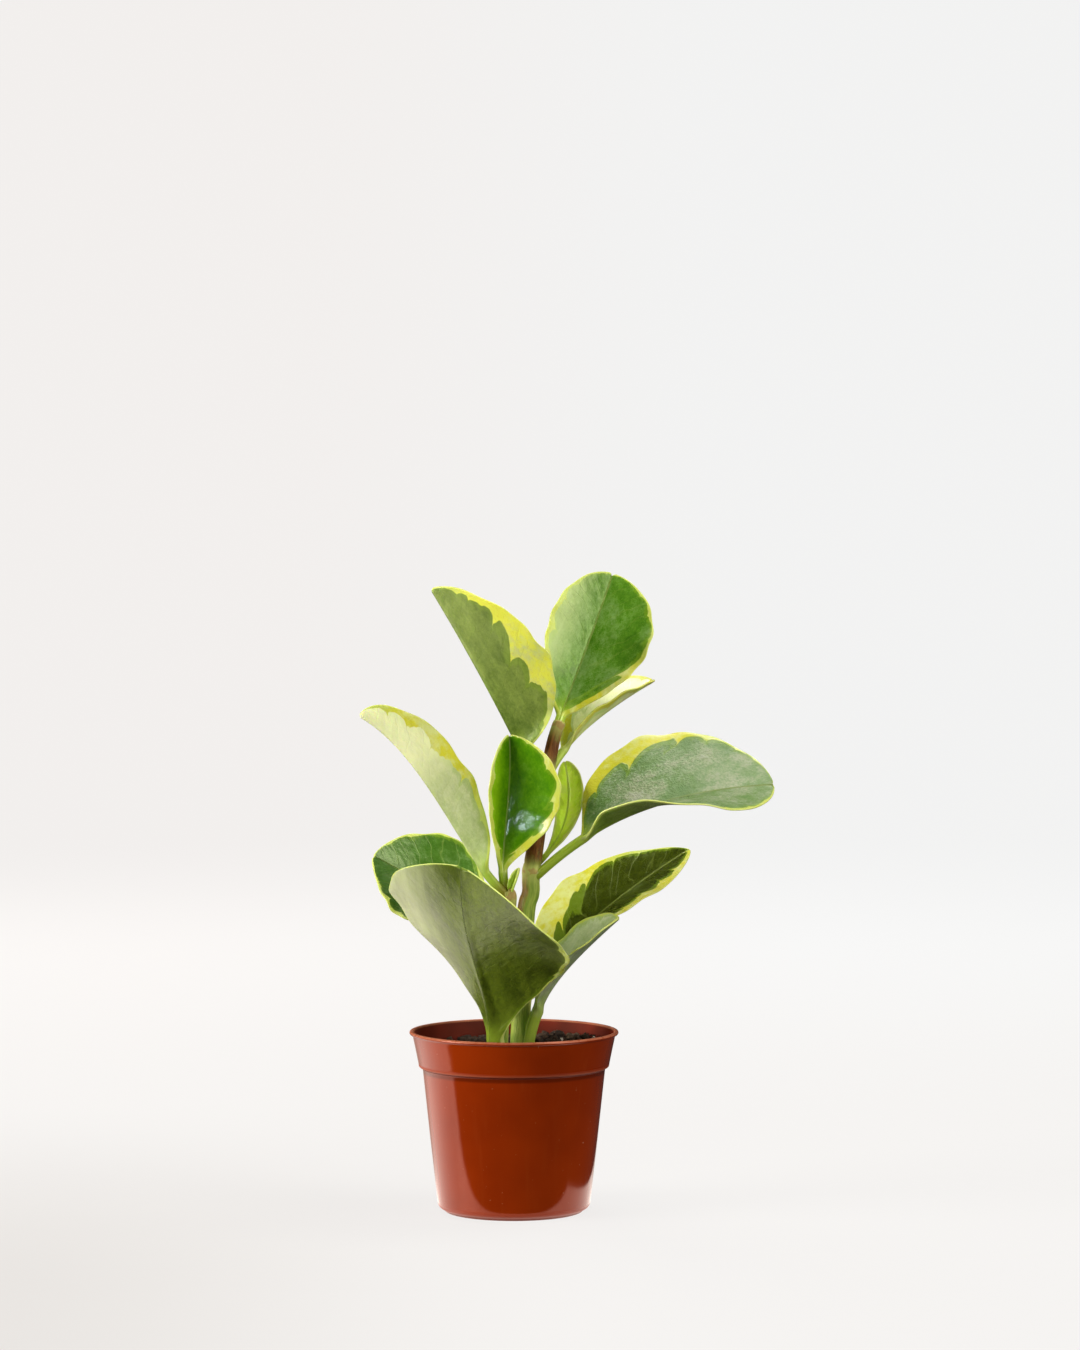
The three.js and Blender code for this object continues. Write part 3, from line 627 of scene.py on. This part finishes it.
def scatter(name, count, low, high, sink=0.3):
    """Many irregular grains in one body, lying on the soil."""
    ball, ball_faces = ball_points()
    points, faces, shade = [], [], []
    while len(points) < count:
        r, turn = SOIL_RIM * math.sqrt(rng.random()) * 0.985, rng.random() * 2 * math.pi
        x, y = r * math.cos(turn), r * math.sin(turn)
        size = low + (high - low) * rng.random() ** 3
        in_stem = any(math.hypot(x - a, y - b) < free + size for a, b, free in STEM_FEET)
        if in_stem or r + size > SOIL_RIM + 0.2:
            continue
        grain = ball * (1 + 0.28 * rng.normal(size=(len(ball), 1)).clip(-1.5, 1.5))
        grain = grain * (size * np.array([1, 0.6 + 0.5 * rng.random(), 0.45 + 0.45 * rng.random()]))
        spin = rng.random() * 2 * math.pi
        tilt = rng.normal(0, 0.5)
        c, s, ct, st = math.cos(spin), math.sin(spin), math.cos(tilt), math.sin(tilt)
        tilting = np.array([[1, 0, 0], [0, ct, st], [0, -st, ct]])
        turning = np.array([[c, s, 0], [-s, c, 0], [0, 0, 1]])
        grain = grain @ tilting @ turning
        z = soil_height(x, y) + crumb_heap(x, y) + size * sink
        faces.append(ball_faces + len(points) * len(ball))
        points.append(grain + [x, y, z])
        shade.append(np.full(len(ball), rng.random()))
    points, faces = np.concatenate(points), np.concatenate(faces).tolist()
    made = shape_object(name, points, faces, {"shade": np.concatenate(shade)})
    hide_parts("soil")
    return made


# Materials
class Value:
    """One number in a finish. Python's operators add the Math nodes."""

    def __init__(self, finish, socket):
        self.finish, self.socket = finish, socket

    def maths(self, operation, *others, flip=False):
        terms = (*others, self) if flip else (self, *others)
        return self.finish.node("ShaderNodeMath", {"operation": operation}, dict(enumerate(terms)))

    def __add__(self, other):
        return self.maths("ADD", other)

    def __sub__(self, other):
        return self.maths("SUBTRACT", other)

    def __rsub__(self, other):
        return self.maths("SUBTRACT", other, flip=True)

    def __mul__(self, other):
        return self.maths("MULTIPLY", other)

    def __truediv__(self, other):
        return self.maths("DIVIDE", other)

    __radd__ = __add__
    __rmul__ = __mul__

    def size(self):
        return self.maths("ABSOLUTE")

    def rise(self, low, high):
        """0 below low, 1 above high, and smooth between. It falls where low is above high."""
        inputs = {"Value": self, "From Min": low, "From Max": high}
        return self.finish.node("ShaderNodeMapRange", {"interpolation_type": "SMOOTHSTEP"}, inputs)


class Finish:
    """A material being made. node() adds a node of any kind, and paint() ends it."""

    def __init__(self, name):
        self.material = bpy.data.materials.new(name)
        self.material.use_nodes = True
        self.tree = self.material.node_tree
        self.tree.nodes.clear()

    def node(self, kind, settings=None, inputs=None, output=0):
        made = self.tree.nodes.new(kind)
        for key, value in (settings or {}).items():
            setattr(made, key, value)
        for key, value in (inputs or {}).items():
            if isinstance(value, Value):
                self.tree.links.new(value.socket, made.inputs[key])
            else:
                made.inputs[key].default_value = value
        return Value(self, made.outputs[output]) if made.outputs else None

    def mark(self, name):
        return self.node("ShaderNodeAttribute", {"attribute_name": name}, output="Fac")

    def place(self):
        return self.node("ShaderNodeTexCoord", output="Object")

    def scaled(self, vector, factors):
        inputs = {0: vector, 1: factors}
        return self.node("ShaderNodeVectorMath", {"operation": "MULTIPLY"}, inputs)

    def part(self, vector, axis):
        return self.node("ShaderNodeSeparateXYZ", None, {"Vector": vector}, output=axis)

    def vector(self, x, y, z):
        return self.node("ShaderNodeCombineXYZ", None, {"X": x, "Y": y, "Z": z})

    def noise(self, vector, scale, detail, roughness):
        inputs = {"Vector": vector, "Scale": scale, "Detail": detail, "Roughness": roughness}
        return self.node("ShaderNodeTexNoise", None, inputs)

    def blend(self, amount, first, second):
        settings = {"data_type": "RGBA", "clamp_factor": True}
        inputs = {"Factor": amount, 6: first, 7: second}
        return self.node("ShaderNodeMix", settings, inputs, output=2)

    def bump(self, height, depth):
        return self.node("ShaderNodeBump", None, {"Height": height, "Distance": depth})

    def paint(self, made, **sockets):
        """Ends the finish with a surface that has these sockets, and gives it to objects."""
        inputs = {key.replace("_", " "): value for key, value in sockets.items()}
        surface = self.node("ShaderNodeBsdfPrincipled", None, inputs)
        self.node("ShaderNodeOutputMaterial", None, {"Surface": surface})
        for each in made:
            each.data.materials.clear()
            each.data.materials.append(self.material)


CREAM, LIME, SCURF, TAN = (colour(c) for c in ("#d6da8c", "#8aaa28", "#d2cabc", "#b98e3a"))
SILVER, RED_STALK, PALE_STALK = colour("#8fa078"), colour("#6b2e12"), colour("#98b032")
THIN_RIM, MIDRIB = colour("#b9c968"), colour("#a3b156")
VEIN_SLANT, TIP_FADE = 0.8, 14
# The pot's outer radius in metres under and over the collar's step, as its growth per metre of
# height and its value at the floor, and the heights that its finish goes by
BODY_LINE, COLLAR_LINE, COLLAR_STEP = (0.1114, 0.0323), (0.2069, 0.02794), 0.0615
COLLAR_SHADOW_LINE, DULL_LINE, FOOT_LINE, LIP_LINE = 0.0608, 0.0625, 0.0627, 0.0768


def leaf_finish(made, spec, seed):
    f = Finish("flesh_of_" + made.name)
    across, along, edge, reach = (f.mark(m) for m in ("across", "along", "edge", "yellow"))
    upper, stalk = f.mark("upper"), f.mark("stalk")
    out = across.size()
    vein = along - out * VEIN_SLANT
    side = across.rise(-0.5, 0.5) * 7.3 + seed * 11.7
    # The green meets the pale margin in round lobes, parted by notches along the side veins.
    drift = f.noise(f.vector(vein * 0.09, out * 0.05, side), 1, 2, 0.5)
    fine = f.noise(f.vector(vein * 0.45, out * 0.3, side), 1, 3, 0.6)
    turn = vein * 0.22 + drift * 4.5 + seed
    lobe = turn.maths("SINE").size().maths("POWER", 0.5)
    deep = (reach * 0.75).maths("MINIMUM", 4.5)
    border = reach * (1 + (drift - 0.5) * 0.5) + deep * (0.55 - lobe) + (fine - 0.5) * 1.1 - 0.1
    yellow = (border - edge).rise(-0.15, 0.3)
    lime = (border * 1.2 + 1.2 + (fine - 0.5) * 4 - edge).rise(-0.6, 0.8)
    # Both sides are mottled, and grey-green clouds lie on the upper one.
    mottle = f.noise(f.vector(along * 0.28, across * 0.38, side), 1, 4, 0.65)
    cloud = f.noise(f.vector(along * 0.06, across * 0.08, side), 1, 2, 0.5)
    fan = f.noise(f.vector(along * 0.035, across * 0.16, side), 1, 4, 0.6)
    level = 0.64 - 0.28 * spec["silver"]
    fleck = f.noise(f.vector(along * 0.9, across * 1.1, side), 1, 4, 0.7)
    silver = (cloud * 0.5 + mottle * 0.3 + fleck * 0.25).rise(level - 0.06, level + 0.14)
    tone = (mottle * 0.4 + cloud * 0.3 + fleck * 0.3).rise(0.32, 0.68)
    nerve = (turn * 2).maths("SINE").size().rise(0.2, 0.02) * out.rise(0.5, 4) * edge.rise(0.5, 3)
    gloss, quilt = spec.get("gloss", 0), spec.get("quilt", 0)
    nerve = nerve * (1 - gloss)
    # The upper and the lower side, each with lime next to its margin
    over = f.blend(tone, *map(colour, spec["greens"]))
    over = f.blend(silver * min(1, 0.2 + 0.8 * spec["silver"]), over, SILVER)
    scurf = (cloud * 0.45 + fleck * 0.35 + mottle * 0.2).rise(0.46, 0.64) * edge.rise(0, 6)
    over = f.blend(scurf * 0.3 * quilt, over, SCURF)
    over = f.blend(lime * 0.4, over, LIME)
    over = f.blend(out.rise(0.75, 0.3) * 0.4 + nerve * 0.12, over, MIDRIB)
    grow = (fan * 0.3 + cloud * 0.2 + mottle * 0.25 + fleck * 0.25).rise(0.34, 0.66)
    below = f.blend(grow, *map(colour, spec["under"]))
    below = f.blend(lime * 0.3, below, LIME)
    skin = f.blend(upper, below, over)
    # Painted light and shade on halves, which turn to a second colour toward their edge,
    # and blades that turn toward their tip
    for half, way in (("left", -1), ("right", 1)):
        amount, tint = spec[half].get("pale", (0, "#ffffff"))
        half_light = (across * (way / spec[half]["width"])).rise(0.15, 0.9) * amount
        skin = f.blend(half_light * (fan * 0.9 + 0.4), skin, colour(tint))
    start, amount, tint = spec.get("tip", (100, 0, "#ffffff"))
    near_tip = along.rise(start - TIP_FADE, start + TIP_FADE) * amount
    skin = f.blend(near_tip * (fan * 0.8 + 0.5), skin, colour(tint))
    # The pale margin, deeper and spotted where it is broad
    deepest = colour(spec.get("margin", "#cecb3c"))
    margin = f.blend((mottle + cloud - 0.5).rise(0.35, 0.75), deepest, CREAM)
    margin = f.blend(fleck.rise(0.52, 0.8) * 0.4, margin, TAN)
    margin = f.blend(reach.rise(4.5, 2.0) * 0.75, margin, THIN_RIM)
    skin = f.blend(yellow * stalk.rise(0.15, 0.0), skin, margin)
    skin = f.blend(edge.rise(0.4, 0.1) * 0.4, skin, CREAM)
    # The stalk, pale where it meets the blade and flushed red further down
    base = along.rise(14, 1) * out.rise(6, 1.5)
    skin = f.blend(base * 0.6, skin, PALE_STALK)
    skin = f.blend(stalk.rise(0.0, 0.1) * 0.7, skin, PALE_STALK)
    red = stalk.rise(0.45 - 0.35 * spec["flush"], 0.98 - 0.2 * spec["flush"])
    skin = f.blend(red * spec["flush"], skin, RED_STALK)
    # Relief and shine
    grain = f.noise(f.place(), 2600, 2, 0.6)
    swell = f.noise(f.vector(vein * 0.12, across * 0.1, side + 1.7), 1, 2, 0.5)
    height = swell * (1.2 - 0.9 * gloss) + (mottle * 0.5 + fleck * 0.25) * spec["silver"]
    height = height + (mottle * 0.6 + fleck * 0.35) * (1 - yellow * 0.8) * quilt
    rough = 0.36 - upper * (0.08 + 0.18 * gloss) + (cloud - 0.5) * 0.2 + (grain - 0.5) * 0.12
    f.paint(
        [made],
        Base_Color=skin,
        Roughness=rough,
        Normal=f.bump(height + mottle * 0.2 - nerve * 0.08, 0.0005),
        Subsurface_Weight=0.45,
        Subsurface_Radius=(1.0, 1.2, 0.45),
        Subsurface_Scale=0.0011,
        IOR=1.5,
        Specular_Tint=(0.85, 1.0, 0.5, 1) if gloss < 0.5 else (1, 1, 1, 1),
    )


def stem_finish(made, flush_from, flush_full):
    f = Finish("bark_of_" + made.name)
    height, joint, around = f.mark("height"), f.mark("joint"), f.mark("around")
    streaks = f.noise(f.vector(height * 0.07, around * 2.2, 4.0), 1, 3, 0.6)
    blotch = f.noise(f.place(), 260, 3, 0.55)
    lines = f.noise(f.vector(height * 0.3, around * 9, 1.0), 1, 3, 0.6)
    green = f.blend(streaks.rise(0.35, 0.7), colour("#65802c"), colour("#9cac4e"))
    green = f.blend(blotch.rise(0.6, 0.75) * 0.35, green, colour("#46601c"))
    brown = f.blend(streaks.rise(0.35, 0.65), colour("#421a08"), colour("#7c4822"))
    brown = f.blend(lines.rise(0.6, 0.75) * 0.4, brown, colour("#b08a52"))
    side_flush = (streaks * 0.8 + around * -0.6).rise(0.45, 0.75) * height.rise(95, 125)
    redness = height.rise(flush_from, flush_full) * (blotch.rise(0.25, 0.5) * 0.4 + 0.6)
    skin = f.blend(side_flush * 0.85, green, brown)
    skin = f.blend(redness, skin, brown)
    skin = f.blend(joint * 0.8, skin, colour("#b7bb68"))
    skin = f.blend((joint * blotch).rise(0.44, 0.52) * 0.5, skin, colour("#9b5b45"))
    f.paint(
        [made],
        Base_Color=skin,
        Roughness=0.3 + lines * 0.2,
        Normal=f.bump(lines + blotch * 0.6, 0.0003),
        Subsurface_Weight=0.15,
        Subsurface_Radius=(1.0, 0.8, 0.3),
        Subsurface_Scale=0.001,
        IOR=1.4,
        Specular_Tint=(1.0, 0.8, 0.45, 1),
    )


def pot_finish(made):
    f = Finish("brown_moulded_plastic")
    place = f.place()
    cloud = f.noise(place, 26, 3, 0.5)
    flow = f.noise(f.scaled(place, (260, 260, 9)), 1, 3, 0.6)
    grain = f.noise(place, 2200, 2, 0.6)
    skin = f.blend(cloud.rise(0.3, 0.7), colour("#7d2502"), colour("#8b2c03"))
    skin = f.blend(flow.rise(0.5, 0.85) * 0.2, skin, colour("#96401a"))
    speck = f.noise(place, 700, 1, 0.5).rise(0.76, 0.8)
    skin = f.blend(speck * 0.2, skin, colour("#b98a6c"))
    # The inner wall is dull, and painted darker, partly as soil grime and partly as painted shade
    # inside the pot.
    height = f.part(place, "Z")
    level = f.scaled(place, (1, 1, 0))
    radius = f.node("ShaderNodeVectorMath", {"operation": "LENGTH"}, {0: level}, output="Value")
    body, collar = (height * slope + foot for slope, foot in (BODY_LINE, COLLAR_LINE))
    wall = body + (collar - body) * height.rise(COLLAR_STEP, COLLAR_STEP + 0.0003)
    inside = (wall - radius).rise(0.0005, 0.0009) * height.rise(0.002, 0.006)
    soil_stain_and_shade = f.blend(cloud.rise(0.35, 0.65), colour("#6c1a05"), colour("#3a0c03"))
    skin = f.blend(inside * 0.9, skin, soil_stain_and_shade)
    # Painted highlights on the lip and collar foot; painted shade under the foot and at the base.
    lip_highlight = height.rise(LIP_LINE, LIP_LINE + 0.0004) * (0.7 + 0.3 * flow.rise(0.3, 0.7))
    foot = (height - FOOT_LINE).size().rise(0.0005, 0.0002) * (1 - inside)
    painted_collar_shadow = (height - COLLAR_SHADOW_LINE).size().rise(0.0016, 0.0004) * (1 - inside)
    dull = (height - DULL_LINE).size().rise(0.0016, 0.0006) + height.rise(0.0045, 0.002)
    skin = f.blend(painted_collar_shadow * 0.6 + height.rise(0.0016, 0.0006) * 0.7, skin, colour("#3c0e02"))
    skin = f.blend(foot * 0.12, skin, colour("#d8906f"))
    skin = f.blend(lip_highlight * 0.45, skin, colour("#d88f6c"))
    rough = 0.08 + cloud * 0.04 + flow * 0.05 + speck * 0.15
    rough = rough + lip_highlight * 0.2 + inside * 0.65 + dull * 0.4
    f.paint(
        [made],
        Base_Color=skin,
        Roughness=rough,
        Normal=f.bump(cloud * 1.6 + grain * 0.05 + flow * 0.1, 0.0001),
        IOR=1.5,
        Specular_Tint=(1.0, 0.5, 0.42, 1),
    )


def soil_finish(made):
    f = Finish("dark_potting_soil")
    place = f.place()
    clod = f.noise(place, 240, 4, 0.65)
    fine = f.noise(place, 1500, 3, 0.7)
    skin = f.blend(clod.rise(0.35, 0.7), colour("#1e140e"), colour("#4a3526"))
    skin = f.blend(fine.rise(0.6, 0.75) * 0.5, skin, colour("#7a6048"))
    skin = f.blend(f.mark("shade").rise(0.85, 1.0) * 0.5, skin, colour("#8d765b"))
    lumps = f.bump(clod + fine * 0.5, 0.0012)
    f.paint(made, Base_Color=skin, Roughness=0.82 + fine * 0.15, Normal=lumps)


def chip_finish(made):
    f = Finish("pale_mineral_chips")
    place = f.place()
    pits = f.noise(place, 1400, 3, 0.6)
    skin = f.blend(pits.rise(0.35, 0.6), colour("#8d8170"), colour("#d8d0c2"))
    f.paint(made, Base_Color=skin, Roughness=0.75 + pits * 0.2, Normal=f.bump(pits, 0.0006))


# The object
for count, (name, spec) in enumerate(LEAVES.items()):
    leaf_finish(grow_leaf(name, spec), spec, count + 1)
stem_finish(grow_stem("main_shoot", STEMS["main_shoot"]), 147, 153)
stem_finish(grow_stem("side_shoot", STEMS["side_shoot"]), 110, 150)
pot_finish(make_pot())
soil_finish([make_soil_top(), scatter("soil_crumbs", 1300, 0.6, 2.4)])
chip_finish([scatter("soil_chips", 26, 0.7, 1.5, sink=0.9)])


# Studio
# A pale sweep goes round, a bright table top ends beside the pot, a window stands to the
# left, and soft boxes stand over and beside the plant.
PLANT_MIDDLE = (0, 0, 0.15)
WARM, COOL = (1.0, 0.97, 0.9), (0.8, 0.92, 1.0)
SWEEP_SIDES, SWEEP_FLAT, SWEEP_BEND, SWEEP_TOP = 72, 2.2, 0.8, 3.6


def paper_sheet(name, points, faces, seen_by):
    """A sheet that takes no part in the object, with its finish begun."""
    sheet = shape_object(name, np.array(points, float) / MM, faces, body=None)
    for ray in ("camera", "diffuse", "glossy", "transmission", "volume_scatter", "shadow"):
        setattr(sheet, "visible_" + ray, ray in seen_by)
    f = Finish(name + "_paper")
    place = f.place()
    return sheet, f, f.part(place, "X"), f.part(place, "Y")


def make_sweep():
    """A floor that curves up into a wall all round."""
    bend = np.radians(np.arange(0, 91, 10))
    reach = [0.5, *(SWEEP_FLAT + SWEEP_BEND * np.sin(bend)), SWEEP_FLAT + SWEEP_BEND]
    lift = [0, *(SWEEP_BEND - SWEEP_BEND * np.cos(bend)), SWEEP_TOP]
    turn = np.arange(SWEEP_SIDES) * 2 * math.pi / SWEEP_SIDES
    rings = [
        [r * np.cos(turn), r * np.sin(turn), np.full(SWEEP_SIDES, z)] for r, z in zip(reach, lift)
    ]
    points = np.moveaxis(np.array(rings), 1, 2).reshape(-1, 3)
    faces = ring_faces(len(reach), SWEEP_SIDES)[:-1]
    sheet, f, x, y = paper_sheet("floor", points, faces, ("camera", "shadow"))
    fibre = f.noise(f.place(), 60, 2, 0.5)
    paper = f.blend(fibre, (0.04, 0.04, 0.04, 1), (0.043, 0.043, 0.043, 1))
    shade = x.rise(0.05, -0.22) * y.rise(0.35, -0.2) * (1 - x.size().rise(0.6, 1.2))
    light = f.blend(x.rise(0.25, -0.3), (1, 1, 0.997, 1), (1, 0.972, 0.955, 1))
    light = f.blend(y.rise(1.3, 0.1) * 0.8, light, (0.92, 0.9, 0.885, 1))
    light = f.blend(shade, light, (0.8, 0.77, 0.745, 1))
    f.paint([sheet], Base_Color=paper, Roughness=1.0, Emission_Color=light, Emission_Strength=0.875)


def make_table_glow():
    """What the glossy pot and leaves see of the white table top."""
    near = [[-1.5, -0.038], [-0.13, -0.047], [-0.06, -0.045], [0.03, -0.037], [0.07, -0.028]]
    points = [[x, y, -0.0002] for x, edge in near for y in (edge, 1.2)]
    faces = [[2 * i, 2 * i + 1, 2 * i + 3, 2 * i + 2] for i in range(len(near) - 1)]
    sheet, f, x, y = paper_sheet("table_glow", points, faces, ("glossy",))
    light = f.blend((y / (x.size() + 0.01)).rise(0.2, 1.9), (1, 0.88, 0.8, 1), (0.24, 0.2, 0.17, 1))
    f.paint([sheet], Base_Color=(0, 0, 0, 1), Emission_Color=light, Emission_Strength=2.4)


def soft_light(name, place, aim, size, watts, tint):
    """A glowing panel at a place, turned to what it lights."""
    lamp = bpy.data.lights.new(name, "AREA")
    lamp.shape = "RECTANGLE"
    lamp.size, lamp.size_y = size
    lamp.energy = watts
    lamp.color = tint
    made = bpy.data.objects.new(name, lamp)
    bpy.context.scene.collection.objects.link(made)
    made.location = place
    gaze = Vector(aim) - Vector(place)
    made.rotation_euler = gaze.to_track_quat("-Z", "Y").to_euler()
    return made


make_sweep()
make_table_glow()
soft_light("window_left", (-1.35, -0.5, 0.34), PLANT_MIDDLE, (0.8, 0.6), 31, WARM)
# A small narrow window that shows as the bright patch on the shiny centre leaf
centre_leaf = (0.006, -0.012, 0.164)
window = soft_light(
    "window_front", (-0.33, -0.393, 0.075), centre_leaf, (0.03, 0.026), 0.00028, COOL
)
window.data.spread = math.radians(6)
window.visible_diffuse = window.visible_transmission = False
soft_light("soft_box", (0.38, -0.06, 1.38), PLANT_MIDDLE, (0.55, 0.6), 14, WARM)
soft_light("right_box", (1.25, -0.75, 0.4), PLANT_MIDDLE, (0.9, 0.9), 15, WARM)
behind = soft_light("window_behind", (-0.7, 1.1, 1.0), PLANT_MIDDLE, (1.2, 0.9), 26, WARM)
fill = soft_light("front_fill", (0.1, -2.4, 0.9), PLANT_MIDDLE, (1.6, 1.2), 11, WARM)
behind.visible_glossy = fill.visible_glossy = False

world = bpy.data.worlds.new("studio_air")
bpy.context.scene.world = world
world.use_nodes = True
air = world.node_tree.nodes["Background"].inputs
air["Color"].default_value = (1.0, 0.995, 0.985, 1)
air["Strength"].default_value = 0.04
bpy.context.scene.view_settings.view_transform = "Standard"

# The camera stands a little above the plant's top and tilts down a little.
camera = bpy.data.objects.new("camera", bpy.data.cameras.new("camera"))
bpy.context.scene.collection.objects.link(camera)
camera.data.lens = 111.9
camera.data.sensor_width = 36
camera.location = (0.0112, -1.8, 0.292)
camera.rotation_euler = (math.radians(90 - 1.95), 0, 0)
bpy.context.scene.camera = camera
